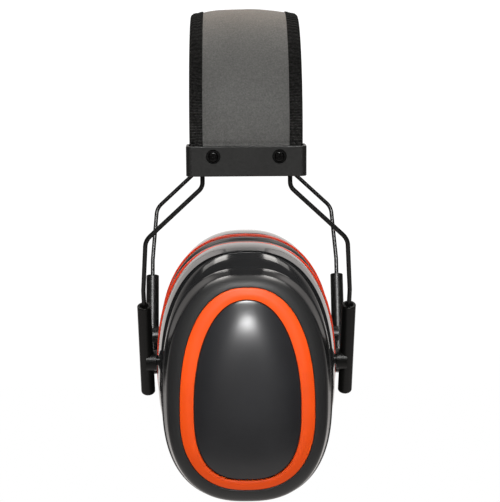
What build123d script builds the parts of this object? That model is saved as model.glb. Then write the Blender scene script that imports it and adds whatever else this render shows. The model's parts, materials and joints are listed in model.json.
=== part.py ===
from build123d import *
import math
import os

# Hearing protection earmuffs: two ear cups on a padded two-wire spring headband.
# Frame, in millimetres: the origin is the middle of the headband's underside, where it rests on
# the crown of the head. +X is the wearer's forward, +Y the wearer's left and +Z up.
# Every piece of the right side is built at -Y, and the left side is its mirror image.

# ---------------------------------------------------------------- driving dimensions
# Padded headband: an arch of half circle and two short straight legs
BAND_WIDTH = 50.8           # front edge to rear edge
WIRE_ARCH_RADIUS = 51.5     # radius of the spring wires over the head
PAD_OUTSIDE = 4.0           # from the wire line to the cover's outer face
PAD_INSIDE = 4.5            # from the wire line to the lining's inner face
COVER_THICKNESS = 1.0
LINING_THICKNESS = 1.0
BINDING_WIDTH = 6.0         # tape folded over each edge of the band
BINDING_THICKNESS = 0.5
LAYER_GAP = 0.05            # between layers that are sewn together
PAD_END_DEPTH = 11.5        # how far the padded band reaches into each bracket

# Spring wires: one front and one rear
WIRE_RADIUS = 1.05
WIRE_HALF_SPREAD = 19.7     # half the distance between the wires inside the band
ELBOW_HALF_SPREAD = 45.8    # the same at the lower bend
LEG_HALF_SPREAD = 47.9      # the same along the slider sleeves
WIRE_CHANNEL_RADIUS = 1.4
WIRE_CROWN_GAP = 0.15
UPPER_BEND = (51.5, -70.7)  # (distance from the middle plane, height)
LOWER_BEND = (51.5, -94.8)
UPPER_BEND_RADIUS = 5.0
LOWER_BEND_RADIUS = 7.0
STRAIGHT_ABOVE_SLEEVE = 8.5 # the last bend is this far above the sleeve's top end
LEG_LEAN = 23.0             # the legs lean inward going down, degrees from the vertical

# Brackets that clamp the ends of the band
BRACKET_TOP = -51.7
BRACKET_HEIGHT = 13.6
BRACKET_WIDTH = 53.8
BRACKET_WALL = 1.1
BRACKET_CLEARANCE = 0.3
BRACKET_CORNER = 2.5
BRACKET_EDGE = 0.5          # rounding of the top and bottom edges
SCREW_SPACING = 29.5
SCREW_DROP = 4.7            # from the bracket's top edge to the screws
SCREW_RADIUS = 1.4
SCREW_HEAD_RADIUS = 2.15
SCREW_HEAD_HEIGHT = 1.6
SCREW_RECESS_RADIUS = 3.2
SCREW_RECESS_DEPTH = 0.9
SCREW_DRIVE_SIZE = 0.6
SCREW_DRIVE_DEPTH = 0.9

# Slider sleeves on the wires' lower legs
SLIDER_RADIUS = 3.25
SLIDER_TIP_RADIUS = 3.4
SLIDER_LENGTH = 51.4
SLIDER_TOP_HEIGHT = -128.1
SLIDER_FLOOR = 2.5
SLIDER_FUNNEL_RADIUS = 2.2
SLIDER_FUNNEL_DEPTH = 1.6
WIRE_RUNNING_GAP = 0.05
WIRE_INSERTION = 37.5       # length of wire inside each sleeve at rest

# Cup pivots: a boss and stud on each sleeve
PIVOT_DISTANCE = 32.0       # from the sleeve's top end, along the sleeve
BOSS_RADIUS = 5.0
STUD_RADIUS = 2.5
STUD_RUNNING_GAP = 0.05
STUD_HEAD_RADIUS = 3.1
STUD_HEAD_LENGTH = 1.4
PIVOT_SIDE_GAP = 0.3

# Ear cup: outlines are (half width, height above the pivot, depth below the pivot), and shapes are
# (widest this far below the pivot, squareness above it, squareness below it); 2 is an ellipse
OUTLINE_POINTS = 32
PLATE_SHAPE = (8.0, 2.45, 2.06)
SHELL_SHAPE = (11.0, 2.45, 2.2)
CAP_SHAPE = (15.0, 2.45, 2.55)
RING_SHAPE = (19.7, 2.34, 2.42)
DOME_SHAPE = (17.8, 2.15, 2.7)
PLATE_OUTLINE = (44.0, 55.5, 65.0)
SHELL_BACK_OUTLINE = (43.2, 54.9, 64.6)
SHELL_MIDDLE_OUTLINE = (42.8, 55.2, 65.0)
SHELL_FRONT_OUTLINE = (41.3, 53.9, 65.6)
CAP_OUTLINE = (40.7, 53.4, 66.0)
LEDGE_OUTER_OUTLINE = (40.4, 48.4, 66.0)
LEDGE_INNER_OUTLINE = (39.8, 47.5, 65.6)
BROW_OUTLINE = (37.8, 46.5, 63.9)
FACE_OUTLINE = (35.4, 44.2, 61.5)
FACE_RIM_OUTLINE = (33.0, 42.3, 59.4)
RING_OUTLINE = (31.7, 40.5, 56.8)
DOME_OUTLINE = (24.9, 34.6, 51.8)

# Distances from the middle plane between the cups
CUSHION_FACE = 0.4
CUSHION_BACK = 10.5
PLATE_BACK = 13.4
SHELL_MIDDLE = 22.0
SHELL_BACK = 31.6
CAP_START = 32.3
LEDGE_START = 38.6
LEDGE_END = 39.1
BROW_START = 45.8
FACE_START = 48.4
FACE_END = 50.2
INLAY_FLOOR = 48.9
DOME_TOP = 52.8
WALL = 2.2
SEAM_DEPTH = 0.9            # of the groove between the rear shell and the cap

# Ear cushion and the foam inside the cup
CUSHION_OUTLINE = (43.0, 54.6, 64.0)
CUSHION_FACE_INSET = 4.5
CUSHION_SHOULDER = 5.0
EAR_OPENING = (18.0, 30.0, 38.0)
CUSHION_SKIN = 1.0
PLATE_LIP = 2.0
ABSORBER_START = 32.5
ABSORBER_END = 45.0
FIT_GAP = 0.15

# ---------------------------------------------------------------- derived dimensions
ARCH_CENTRE = PAD_INSIDE - WIRE_ARCH_RADIUS
PAD_END = BRACKET_TOP - PAD_END_DEPTH
LEAN = math.radians(LEG_LEAN)
LEG_DIRECTION = Vector(0, math.sin(LEAN), -math.cos(LEAN))
LEG_TOP_DROP = LOWER_BEND[1] - SLIDER_TOP_HEIGHT
SLIDER_TOP_Y = -LOWER_BEND[0] + LEG_TOP_DROP * math.tan(LEAN)
PIVOT_Y = SLIDER_TOP_Y + PIVOT_DISTANCE * math.sin(LEAN)
PIVOT_Z = SLIDER_TOP_HEIGHT - PIVOT_DISTANCE * math.cos(LEAN)
FRONT = 1
REAR = -1


# ---------------------------------------------------------------- shared shapes
def band_layer(inner_offset, outer_offset, x_low, x_high, end_height):
    """A layer of the arch, between two distances from the wire line (outward is positive)."""
    outer_radius = WIRE_ARCH_RADIUS + outer_offset
    inner_radius = WIRE_ARCH_RADIUS + inner_offset
    sketch = Plane.YZ * Pos(0, ARCH_CENTRE) * (Circle(outer_radius) - Circle(inner_radius))
    keep_top = Pos(0, 0, ARCH_CENTRE) * Box(
        BAND_WIDTH * 2, outer_radius * 3, outer_radius * 2,
        align=(Align.CENTER, Align.CENTER, Align.MIN),
    )
    arch = extrude(sketch, x_high - x_low)
    arch = Pos(x_low, 0, 0) * arch & keep_top
    leg = Pos((x_low + x_high) / 2, (outer_radius + inner_radius) / 2, ARCH_CENTRE) * Box(
        x_high - x_low, outer_radius - inner_radius, ARCH_CENTRE - end_height,
        align=(Align.CENTER, Align.CENTER, Align.MAX),
    )
    return arch + leg + mirror(leg, about=Plane.XZ)


def rod(radius, start, direction, length):
    """A round bar from a start point along a direction."""
    plane = Plane(origin=start, z_dir=direction)
    return plane * Cylinder(radius, length, align=(Align.CENTER, Align.CENTER, Align.MIN))


def screw_places():
    """The two screw axes of the right bracket, as (x, z)."""
    height = BRACKET_TOP - SCREW_DROP
    return [(side * SCREW_SPACING / 2, height) for side in (REAR, FRONT)]


def screw_clearance(layer):
    """Cuts the screws' holes through both ends of a band layer."""
    for x, z in screw_places():
        hole_length = 2 * (WIRE_ARCH_RADIUS + PAD_OUTSIDE + 5)
        start = (x, -hole_length / 2, z)
        layer = layer - rod(SCREW_RADIUS + BRACKET_CLEARANCE, start, (0, 1, 0), hole_length)
    return layer


def egg_wire(outline, distance, shape):
    """An egg-shaped closed outline in a plane of constant distance from the middle plane."""
    half_width, above, below = outline
    widest, top_squareness, bottom_squareness = shape
    points = []
    for step in range(OUTLINE_POINTS):
        angle = 2 * math.pi * step / OUTLINE_POINTS
        upper = math.sin(angle) >= 0
        power = 2 / (top_squareness if upper else bottom_squareness)
        reach = above + widest if upper else below - widest
        across = math.copysign(abs(math.cos(angle)) ** power, math.cos(angle))
        along = math.copysign(abs(math.sin(angle)) ** power, math.sin(angle))
        z = PIVOT_Z - widest + reach * along
        points.append(Vector(half_width * across, -distance, z))
    return Wire([Spline(*points, periodic=True)])


def egg_body(levels, shape):
    """A solid through several outlines, given as (outline, distance)."""
    wires = [egg_wire(outline, distance, shape) for outline, distance in levels]
    return Part() + Solid.make_loft(wires, ruled=True)


def inset(outline, amount):
    """The same outline, smaller all round."""
    return tuple(size - amount for size in outline)


# ---------------------------------------------------------------- headband
def wire_channel(side):
    """The space that one spring wire takes in the padding."""
    path = wire_path_upper(side, PAD_END - 1)
    return sweep_round(path, WIRE_CHANNEL_RADIUS)


def wire_path_upper(side, end_height):
    """The centre line of one wire from the crown down to a height on the right-hand leg."""
    x = side * WIRE_HALF_SPREAD
    centre = Plane(origin=(x, 0, ARCH_CENTRE), x_dir=(0, 0, 1), z_dir=(1, 0, 0))
    arc = centre * CenterArc((0, 0), WIRE_ARCH_RADIUS, 0, 90)
    leg = Line((x, -WIRE_ARCH_RADIUS, ARCH_CENTRE), (x, -WIRE_ARCH_RADIUS, end_height))
    return Wire([arc.edge(), leg.edge()])


def sweep_round(path, radius):
    """A round section swept along a path that starts at the crown."""
    start = path @ 0
    section = Plane(origin=start, z_dir=path % 0) * Circle(radius)
    return sweep(section, path=path)


def headband_layers():
    """The sewn layers of the padded headband, from the outside in."""
    half = BAND_WIDTH / 2
    edge = half - BINDING_THICKNESS - LAYER_GAP
    cover_inner = PAD_OUTSIDE - COVER_THICKNESS
    lining_outer = LINING_THICKNESS - PAD_INSIDE
    cover = band_layer(cover_inner, PAD_OUTSIDE, -edge, edge, PAD_END)
    lining = band_layer(-PAD_INSIDE, lining_outer, -edge, edge, PAD_END)
    foam = band_layer(
        lining_outer + LAYER_GAP, cover_inner - LAYER_GAP, -edge, edge, PAD_END
    )
    for side in (FRONT, REAR):
        channel = wire_channel(side)
        foam = foam - channel - mirror(channel, about=Plane.XZ)
    return {
        "headband_cover": screw_clearance(cover),
        "headband_foam": screw_clearance(foam),
        "headband_lining": screw_clearance(lining),
    }


def edge_binding(side):
    """The tape folded over the front or the rear edge of the band."""
    half = BAND_WIDTH / 2
    outside = PAD_OUTSIDE + LAYER_GAP
    inside = -PAD_INSIDE - LAYER_GAP
    near = half - BINDING_WIDTH
    tape = band_layer(
        inside - BINDING_THICKNESS, outside + BINDING_THICKNESS, near, half, PAD_END
    )
    tape = tape - band_layer(inside, outside, near - 1, half - BINDING_THICKNESS, PAD_END - 1)
    return tape if side == FRONT else mirror(tape, about=Plane.YZ)


# ---------------------------------------------------------------- spring wires and brackets
def spring_wire(side):
    """One wire from the crown, down the right side and into its slider sleeve."""
    x_top = side * WIRE_HALF_SPREAD
    x_leg = side * LEG_HALF_SPREAD
    sleeve_top = Vector(x_leg, SLIDER_TOP_Y, SLIDER_TOP_HEIGHT)
    leg_end = sleeve_top + LEG_DIRECTION * WIRE_INSERTION
    last = sleeve_top - LEG_DIRECTION * STRAIGHT_ABOVE_SLEEVE
    upper = Vector(x_top, -UPPER_BEND[0], UPPER_BEND[1])
    lower = Vector(side * ELBOW_HALF_SPREAD, -LOWER_BEND[0], LOWER_BEND[1])
    start = Vector(x_top, -WIRE_ARCH_RADIUS, ARCH_CENTRE)
    bends = FilletPolyline(
        start, upper, lower, last, leg_end,
        radius=[UPPER_BEND_RADIUS, LOWER_BEND_RADIUS, LOWER_BEND_RADIUS],
    )
    crown_angle = math.degrees(WIRE_CROWN_GAP / WIRE_ARCH_RADIUS)
    plane = Plane(origin=(x_top, 0, ARCH_CENTRE), x_dir=(0, 0, 1), z_dir=(1, 0, 0))
    arc = plane * CenterArc((0, 0), WIRE_ARCH_RADIUS, crown_angle, 90 - crown_angle)
    return sweep_round(Wire([arc.edge()] + list(bends.edges())), WIRE_RADIUS)


def bracket_block():
    """The outside of the right bracket before it is parted into two halves."""
    inner = WIRE_ARCH_RADIUS - PAD_INSIDE - BINDING_THICKNESS - BRACKET_CLEARANCE - BRACKET_WALL
    outer = WIRE_ARCH_RADIUS + PAD_OUTSIDE + BINDING_THICKNESS + BRACKET_CLEARANCE + BRACKET_WALL
    block = Pos(0, -(inner + outer) / 2, BRACKET_TOP) * Box(
        BRACKET_WIDTH, outer - inner, BRACKET_HEIGHT,
        align=(Align.CENTER, Align.CENTER, Align.MAX),
    )
    block = fillet(block.edges().filter_by(Axis.Z), BRACKET_CORNER)
    faces = block.faces().sort_by(Axis.Z)
    return fillet(faces[0].edges() + faces[-1].edges(), BRACKET_EDGE), inner, outer


def bracket_halves():
    """The outer and inner clamping halves of the right bracket."""
    block, inner, outer = bracket_block()
    pocket_inner = inner + BRACKET_WALL
    pocket_outer = outer - BRACKET_WALL
    pocket = Pos(0, -(pocket_inner + pocket_outer) / 2, BRACKET_TOP + 1) * Box(
        BAND_WIDTH + 2 * BRACKET_CLEARANCE, pocket_outer - pocket_inner,
        PAD_END_DEPTH + BRACKET_CLEARANCE + 1,
        align=(Align.CENTER, Align.CENTER, Align.MAX),
    )
    block = block - pocket
    for side in (FRONT, REAR):
        top = (side * WIRE_HALF_SPREAD, -WIRE_ARCH_RADIUS, BRACKET_TOP)
        block = block - rod(WIRE_RADIUS + WIRE_RUNNING_GAP, top, (0, 0, -1), BRACKET_HEIGHT + 1)
    for x, z in screw_places():
        outer_face = (x, -outer, z)
        block = block - rod(SCREW_RADIUS + FIT_GAP, outer_face, (0, 1, 0), outer - inner - 0.6)
        block = block - rod(SCREW_RECESS_RADIUS, outer_face, (0, 1, 0), SCREW_RECESS_DEPTH)
    outer_side = Pos(0, -WIRE_ARCH_RADIUS, 0) * Box(
        200, 100, 400, align=(Align.CENTER, Align.MAX, Align.CENTER)
    )
    return block & outer_side, block - outer_side, outer


def bracket_screws(outer):
    """The two screws that clamp the right bracket, as one group."""
    screws = Part()
    head_seat = -outer + SCREW_RECESS_DEPTH
    pocket_end = WIRE_ARCH_RADIUS - PAD_INSIDE - BINDING_THICKNESS - BRACKET_CLEARANCE
    for x, z in screw_places():
        shank = rod(SCREW_RADIUS, (x, head_seat, z), (0, 1, 0), -head_seat - pocket_end)
        head = rod(SCREW_HEAD_RADIUS, (x, head_seat, z), (0, -1, 0), SCREW_HEAD_HEIGHT)
        head = fillet(head.faces().sort_by(Axis.Y)[0].edges(), SCREW_HEAD_HEIGHT * 0.4)
        top = head_seat - SCREW_HEAD_HEIGHT
        slot = Pos(x, top, z) * Box(SCREW_HEAD_RADIUS * 1.3, SCREW_DRIVE_DEPTH * 2, SCREW_DRIVE_SIZE)
        cross = Pos(x, top, z) * Box(SCREW_DRIVE_SIZE, SCREW_DRIVE_DEPTH * 2, SCREW_HEAD_RADIUS * 1.3)
        screws = screws + (shank + head - slot - cross)
    return screws


# ---------------------------------------------------------------- slider sleeves
def slider_sleeve(side):
    """One sleeve with its pivot boss and stud, on the right cup's front or rear side."""
    x = side * LEG_HALF_SPREAD
    top = Vector(x, SLIDER_TOP_Y, SLIDER_TOP_HEIGHT)
    plane = Plane(origin=top, x_dir=(1, 0, 0), z_dir=LEG_DIRECTION)
    body = plane * Cone(
        SLIDER_RADIUS, SLIDER_TIP_RADIUS, SLIDER_LENGTH,
        align=(Align.CENTER, Align.CENTER, Align.MIN),
    )
    ends = body.edges().filter_by(GeomType.CIRCLE)
    body = fillet(ends.sort_by(Axis.Z)[0], 1.2)
    body = fillet(body.edges().filter_by(GeomType.CIRCLE).sort_by(Axis.Z)[-1], 0.4)
    pivot = Vector(x, PIVOT_Y, PIVOT_Z)
    inward = (-side, 0, 0)
    boss_length = LEG_HALF_SPREAD - SHELL_MIDDLE_OUTLINE[0] - PIVOT_SIDE_GAP
    stud_length = LEG_HALF_SPREAD - SHELL_FRONT_OUTLINE[0] + WALL + PIVOT_SIDE_GAP
    body = body + rod(BOSS_RADIUS, pivot, inward, boss_length)
    body = body + rod(STUD_RADIUS, pivot, inward, stud_length)
    head_start = pivot + Vector(*inward) * stud_length
    body = body + rod(STUD_HEAD_RADIUS, head_start, inward, STUD_HEAD_LENGTH)
    bore = rod(
        WIRE_RADIUS + WIRE_RUNNING_GAP, top, LEG_DIRECTION, SLIDER_LENGTH - SLIDER_FLOOR
    )
    funnel = plane * Cone(
        SLIDER_FUNNEL_RADIUS, WIRE_RADIUS + WIRE_RUNNING_GAP, SLIDER_FUNNEL_DEPTH,
        align=(Align.CENTER, Align.CENTER, Align.MIN),
    )
    return body - bore - funnel


# ---------------------------------------------------------------- ear cup
def pivot_holes(shell):
    """Cuts the two pivot holes through the sides of the rear shell."""
    start = (-LEG_HALF_SPREAD, PIVOT_Y, PIVOT_Z)
    return shell - rod(STUD_RADIUS + STUD_RUNNING_GAP, start, (1, 0, 0), 2 * LEG_HALF_SPREAD)


def cup_rear_shell():
    """The band of shell between the cushion plate and the seam, open at both ends."""
    outside = egg_body([
        (SHELL_BACK_OUTLINE, PLATE_BACK),
        (SHELL_MIDDLE_OUTLINE, SHELL_MIDDLE),
        (SHELL_FRONT_OUTLINE, SHELL_BACK),
    ], SHELL_SHAPE)
    hollow = egg_body([
        (inset(SHELL_BACK_OUTLINE, WALL), PLATE_BACK - 1),
        (inset(SHELL_MIDDLE_OUTLINE, WALL), SHELL_MIDDLE),
        (inset(SHELL_FRONT_OUTLINE, WALL), SHELL_BACK + 1),
    ], SHELL_SHAPE)
    return pivot_holes(outside - hollow)


def cup_front_cap():
    """The stepped outer cap, with a recess for the face ring and the dome."""
    outside = egg_body([
        (CAP_OUTLINE, CAP_START),
        (LEDGE_OUTER_OUTLINE, LEDGE_START),
        (LEDGE_INNER_OUTLINE, LEDGE_END),
        (BROW_OUTLINE, BROW_START),
        (FACE_OUTLINE, FACE_START),
        (FACE_RIM_OUTLINE, FACE_END),
    ], CAP_SHAPE)
    neck_outline = inset(CAP_OUTLINE, SEAM_DEPTH)
    neck = egg_body([(neck_outline, SHELL_BACK), (neck_outline, CAP_START)], CAP_SHAPE)
    hollow = egg_body([
        (inset(CAP_OUTLINE, WALL), SHELL_BACK - 1),
        (inset(CAP_OUTLINE, WALL), CAP_START),
        (inset(LEDGE_OUTER_OUTLINE, WALL), LEDGE_START),
        (inset(BROW_OUTLINE, WALL), BROW_START),
        (inset(FACE_OUTLINE, 2 * WALL), BROW_START + 0.8),
    ], CAP_SHAPE)
    recess = egg_body([
        (RING_OUTLINE, INLAY_FLOOR),
        (RING_OUTLINE, FACE_END + 1),
    ], RING_SHAPE)
    return outside + neck - hollow - recess


def face_ring():
    """The coloured ring let into the cap's face."""
    ring = egg_body([
        (inset(RING_OUTLINE, FIT_GAP), INLAY_FLOOR),
        (inset(RING_OUTLINE, FIT_GAP), FACE_END),
        (inset(RING_OUTLINE, 1.0), FACE_END + 0.5),
    ], RING_SHAPE)
    return ring - egg_body([
        (DOME_OUTLINE, INLAY_FLOOR - 1),
        (DOME_OUTLINE, FACE_END + 2),
    ], DOME_SHAPE)


def face_dome():
    """The raised cover in the middle of the ring."""
    rise = DOME_TOP - FACE_END
    return egg_body([
        (inset(DOME_OUTLINE, FIT_GAP), INLAY_FLOOR),
        (inset(DOME_OUTLINE, FIT_GAP), FACE_END + 0.3 * rise),
        (inset(DOME_OUTLINE, 1.2), FACE_END + 0.5 * rise),
        (inset(DOME_OUTLINE, 7), FACE_END + 0.8 * rise),
        (inset(DOME_OUTLINE, 16), DOME_TOP),
    ], DOME_SHAPE)


def ear_opening(start, end, extra=0.0):
    """The oval passage for the ear, between two distances from the middle plane."""
    outline = inset(EAR_OPENING, -extra)
    return egg_body([(outline, start), (outline, end)], PLATE_SHAPE)


def cushion_plate():
    """The coloured plate between the cushion and the shell."""
    plate = egg_body([(PLATE_OUTLINE, CUSHION_BACK), (PLATE_OUTLINE, PLATE_BACK)], PLATE_SHAPE)
    return plate - ear_opening(CUSHION_BACK - 1, PLATE_BACK + 1, PLATE_LIP)


def cushion_pieces():
    """The cushion's skin and the foam ring that fills it."""
    shoulder = CUSHION_FACE + CUSHION_SHOULDER
    ring = egg_body([
        (inset(CUSHION_OUTLINE, CUSHION_FACE_INSET), CUSHION_FACE),
        (CUSHION_OUTLINE, shoulder),
        (CUSHION_OUTLINE, CUSHION_BACK),
    ], PLATE_SHAPE) - ear_opening(CUSHION_FACE - 1, CUSHION_BACK + 1)
    face = CUSHION_FACE + CUSHION_SKIN
    inside = inset(CUSHION_OUTLINE, CUSHION_SKIN)
    core = egg_body([
        (inset(inside, CUSHION_FACE_INSET), face),
        (inside, shoulder),
        (inside, CUSHION_BACK),
    ], PLATE_SHAPE) - ear_opening(CUSHION_FACE, CUSHION_BACK + 1, CUSHION_SKIN)
    foam = egg_body([
        (inset(inside, CUSHION_FACE_INSET + FIT_GAP), face + FIT_GAP),
        (inset(inside, FIT_GAP), shoulder),
        (inset(inside, FIT_GAP), CUSHION_BACK - FIT_GAP),
    ], PLATE_SHAPE) - ear_opening(CUSHION_FACE, CUSHION_BACK + 1, CUSHION_SKIN + FIT_GAP)
    return ring - core, foam


def absorber_foam():
    """The sound-absorbing foam in the bottom of the cup."""
    return egg_body([
        (inset(CAP_OUTLINE, WALL + 2.0), ABSORBER_START),
        (inset(BROW_OUTLINE, WALL + 1.0), ABSORBER_END),
    ], CAP_SHAPE)


# ---------------------------------------------------------------- the whole object
def right_side():
    """Every piece of the right side, by its name without the side."""
    outer_half, inner_half, outer = bracket_halves()
    cushion_cover, cushion_foam = cushion_pieces()
    return {
        "spring_wire_front": spring_wire(FRONT),
        "spring_wire_rear": spring_wire(REAR),
        "bracket_outer_half": outer_half,
        "bracket_inner_half": inner_half,
        "bracket_screws": bracket_screws(outer),
        "slider_front": slider_sleeve(FRONT),
        "slider_rear": slider_sleeve(REAR),
        "cup_rear_shell": cup_rear_shell(),
        "cup_front_cap": cup_front_cap(),
        "face_ring": face_ring(),
        "face_dome": face_dome(),
        "cushion_plate": cushion_plate(),
        "cushion_cover": cushion_cover,
        "cushion_foam": cushion_foam,
        "absorber_foam": absorber_foam(),
    }


def all_pieces():
    """Every node of the earmuffs, by its name."""
    pieces = headband_layers()
    pieces["edge_binding_front"] = edge_binding(FRONT)
    pieces["edge_binding_rear"] = edge_binding(REAR)
    for name, piece in right_side().items():
        pieces["right_" + name] = piece
        pieces["left_" + name] = mirror(piece, about=Plane.XZ)
    return pieces


os.makedirs("parts", exist_ok=True)
for node, piece in all_pieces().items():
    export_step(piece, f"parts/{node}.step")
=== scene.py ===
import math
import json

import bmesh
import bpy
import numpy as np
from mathutils import Matrix, Vector, noise


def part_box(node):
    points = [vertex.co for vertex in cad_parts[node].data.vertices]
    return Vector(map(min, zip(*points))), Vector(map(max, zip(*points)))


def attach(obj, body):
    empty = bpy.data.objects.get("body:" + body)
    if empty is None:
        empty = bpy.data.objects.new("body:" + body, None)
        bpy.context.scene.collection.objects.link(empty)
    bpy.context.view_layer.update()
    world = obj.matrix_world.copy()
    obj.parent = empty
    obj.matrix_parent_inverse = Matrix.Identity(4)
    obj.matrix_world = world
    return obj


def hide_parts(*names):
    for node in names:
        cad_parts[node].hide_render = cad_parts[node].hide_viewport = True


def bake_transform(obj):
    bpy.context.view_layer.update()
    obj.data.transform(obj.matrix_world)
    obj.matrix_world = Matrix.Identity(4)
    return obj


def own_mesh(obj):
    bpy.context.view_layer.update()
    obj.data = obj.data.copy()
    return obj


# Hearing protection earmuffs. Shapes are worked out in millimetres and made in metres.
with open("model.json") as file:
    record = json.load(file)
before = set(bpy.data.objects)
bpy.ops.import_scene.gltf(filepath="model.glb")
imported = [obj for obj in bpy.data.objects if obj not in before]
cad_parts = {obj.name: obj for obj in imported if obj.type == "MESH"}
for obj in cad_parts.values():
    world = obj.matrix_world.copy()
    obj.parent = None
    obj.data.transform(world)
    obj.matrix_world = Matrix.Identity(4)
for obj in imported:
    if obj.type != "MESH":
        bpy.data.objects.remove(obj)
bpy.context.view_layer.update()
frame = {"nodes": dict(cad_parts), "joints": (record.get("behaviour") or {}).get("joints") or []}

MM = 0.001
SIDES = (("right", -1), ("left", 1))
RIGHT = -1
MIX_FIRST = 6               # places of the colour sockets on Blender's Mix node
MIX_SECOND = 7
MIX_RESULT = 2

# ---------------------------------------------------------------- camera, set as in the picture
CAMERA_PLACE = (-7.7, -663.5, 7.5)
CAMERA_YAW = 0.86
CAMERA_PITCH = -9.96
CAMERA_ROLL = -0.3
CAMERA_LENS = 98.2
SENSOR = 36.0


def node_box(node):
    """Lowest and highest corner of a CAD node, in millimetres."""
    low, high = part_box(node)
    return np.array(low) / MM, np.array(high) / MM


def joint_place(name):
    """A joint's point, in millimetres."""
    found = [joint for joint in frame["joints"] if joint["name"] == name]
    return np.array(found[0]["pos_m"]) / MM


# ---------------------------------------------------------------- sizes taken from the frame
PIVOT = joint_place("right_cup_tilt")
COVER_LOW, COVER_HIGH = node_box("headband_cover")
BINDING_LOW, BINDING_HIGH = node_box("edge_binding_front")
WIRE_LOW, WIRE_HIGH = node_box("right_spring_wire_front")

PAD_OUTSIDE = 4.0
PAD_INSIDE = 4.5
ARCH_RADIUS = COVER_HIGH[1] - PAD_OUTSIDE
ARCH_CENTRE = COVER_HIGH[2] - COVER_HIGH[1]
BAND_HALF = BINDING_HIGH[0]
BAND_END = COVER_LOW[2]
QUARTER = ARCH_RADIUS * math.pi / 2
BAND_LENGTH = QUARTER + ARCH_CENTRE - BAND_END
BINDING_NEAR = BINDING_LOW[0]

# ---------------------------------------------------------------- looks of the headband
COVER_SINK = 0.35           # how far the cover's face stays inside the CAD pad
LINING_SINK = 0.1           # the same for the lining
CROWN_FALL = 1.9            # the padding is this much thinner where the tape starts
CROWN_POWER = 2.4           # higher is flatter in the middle
CLOTH_THICKNESS = 0.9
CLOTH_UNDER_TAPE = 1.2      # how far cover and lining reach under the tape
FOAM_UNDER_TAPE = 2.0
FOAM_INSET = 1.5            # from the cover's face to the foam
HELD_LENGTH = 11.5          # this much of the band's end is inside the bracket
BROAD_WAVE = 0.35           # heights of the cover's unevenness
TAPE_PUCKER = 0.22
BRACKET_FOLD = 0.55
BRACKET_PINCH = 0.35
BAND_STEPS = 130
TAPE_THICKNESS = 0.55
TAPE_OVERLAP = 0.25         # the tape's edge stands this far above the cloth
TAPE_FOLD_RADIUS = 1.2
TAPE_FOLD_STEP = 0.3        # from the tape's flat part to its folded edge
STITCH_GROOVE = 0.28        # how deep the stitches pull the tape in
STITCH_GROOVE_WIDTH = 0.13  # as a share of the tape's width
TAPE_EDGE_HEIGHT = 1.6      # half the thickness of the folded edge
TAPE_EDGE_DROP = 0.4
TAPE_RIB = 0.09
TAPE_RIB_PITCH = 0.9
TAPE_UNEVENNESS = 0.22
TAPE_PAINTED_LIGHT_FROM = 50.0          # distance from the crown where painted light starts to make the tape paler down the hanging band
TAPE_PAINTED_LIGHT_SHARE = 2.6          # how much paler the painted light makes the tape where it ends
STITCH_PITCH = 1.7
STITCH_RADIUS = 0.17
STITCH_LENGTH = 0.78        # as a share of the pitch
STITCH_RISE = 0.16
STITCH_SINK = 0.02

# ---------------------------------------------------------------- spring wires
WIRE_RADIUS = 1.05
WIRE_END_GAP = 0.4          # from the CAD wire's lowest point to the end of the centre line
WIRE_SPREAD = 19.7          # half the distance between the wires inside the band
UPPER_BEND_HEIGHT = -70.7
ELBOW = (45.8, 51.5, -94.8)     # (half spread, distance from the middle plane, height)
LAST_BEND_HEIGHT = -120.3
LEG_LEAN = 23.0             # degrees from the vertical
WIRE_BEND_RADII = (5.0, 7.0, 7.0)
WIRE_STEP = 0.9

# ---------------------------------------------------------------- looks of the cups
# (widest this far below the pivot, squareness above it, squareness below it); 2 is an ellipse
PLATE_SHAPE = (8.0, 2.45, 2.06)
SHELL_SHAPE = (11.0, 2.45, 2.2)
CAP_SHAPE = (15.0, 2.45, 2.55)
RING_SHAPE = (19.7, 2.34, 2.42)
DOME_SHAPE = (17.8, 2.15, 2.7)
AROUND = 224                # points around a cup
DISTANCE = 4                # where a level holds its distance from the middle plane
WALL = 2.2
# steps in from an outline: (narrower, lower on top, higher below, further out than its start)
CAP_SHOULDER = (0.2, 1.5, 0.0, 4.0)
CAP_LEDGE = (0.4, 5.0, 0.0, 7.0)
CAP_UNDER_LEDGE = (1.0, 5.9, 0.4, 7.5)
CAP_BROW = (2.7, 7.4, 2.0, 13.4)
SHELL_BACK = (0.0, -0.1, 1.0, 0.0)
SHELL_MIDDLE = (0.4, -0.15, 0.6, 8.6)
SHELL_FRONT = (1.9, 1.0, 0.0, 0.0)
INNER_START = 1.0           # where the cap's inner wall starts, behind its rim
BROW_START = 14.0           # slope where the brow's curve starts, in degrees
BROW_END = 84.0             # and where it meets the ring
FACE_STARTS = 45.5          # distance from the middle plane where the cap's dull face starts
FACE_FADE = 3.0             # over this distance the gloss fades
SEAM_WIDTH = 0.7            # of the groove between the rear shell and the cap
SEAM_DEPTH = 0.9
SEAM_LIP = 0.3
SEAM_UNDERCUT = 0.9         # how far the shell's edge is hollowed behind the seam
MATING_GAP = 0.02           # between faces that touch
WELD_DISTANCE = 0.001
EAR_OPENING = np.array([18.0, 30.0, 38.0])
PLATE_LIP = 2.0             # the plate's opening is this much wider than the cushion's
INLAY_GAP = 0.15            # between the ring and the recess it lies in
INLAY_WIDTH = 6.0           # of the recess floor under the ring
INLAY_FLOOR_THICKNESS = 0.8
RING_CROWN = 0.2            # the middle of the coloured ring stands this proud
RING_EDGE_DROP = 0.6        # the ring's outer edge is this much lower than its top
RING_INNER_GAP = 0.3        # between the ring and the dome
DOME_RISE = 3.3
DOME_PROUD = 0.4            # the dome stands this far past its CAD solid
DOME_FULLNESS = 4.0
DOME_LIP_HEIGHT = 0.35      # the small step at the dome's edge
DOME_LIP_WIDTH = 0.9
CUSHION_FACE_ROUNDNESS = 2.5
CUSHION_BACK_SQUARENESS = 7.0
CUSHION_SEAM_DEPTH = 0.4
CUSHION_SEAM_WIDTH = 0.35
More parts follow.
